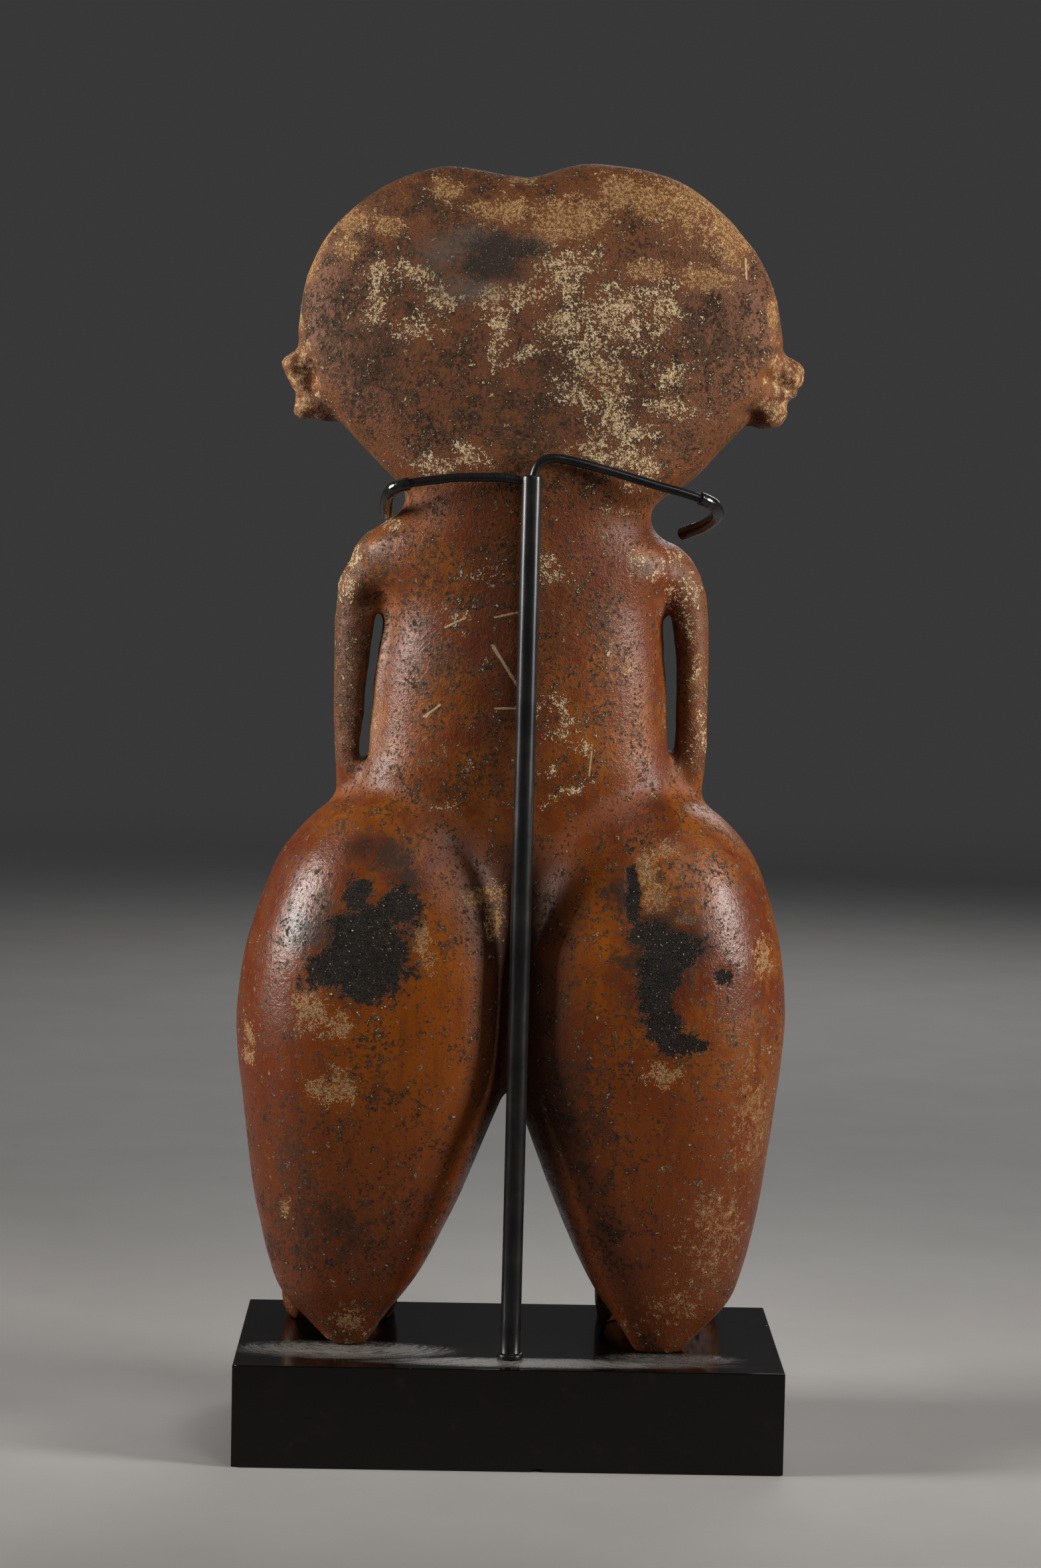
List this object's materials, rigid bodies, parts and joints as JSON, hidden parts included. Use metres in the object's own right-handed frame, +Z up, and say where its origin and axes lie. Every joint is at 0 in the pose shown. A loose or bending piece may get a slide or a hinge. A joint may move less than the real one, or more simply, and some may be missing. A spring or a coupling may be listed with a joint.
{
  "type": "hollow clay figure on a plinth",
  "caption": "Standing burnished clay figure with a broad notched head and bulbous legs, on a polished plinth, steadied by a steel post with padded wire claws.",
  "frame": {"origin": "middle of the plinth's underside", "axes": "+Z up; the figure's face looks along +Y and the post stands at its back, towards -Y; +X is to the right of a viewer who faces its back"},
  "size_m": [0.175, 0.095, 0.4025],
  "materials": {
    "clay": "satin",
    "plinth_stone": "polished",
    "blackened_steel": "satin",
    "sleeve": "gloss"
  },
  "bodies": {
    "root": {"figure": "clay", "plinth": "plinth_stone", "post": "blackened_steel", "left_claw": "blackened_steel", "right_claw": "blackened_steel", "left_sleeve": "sleeve", "right_sleeve": "sleeve"}
  },
  "joints": []
}
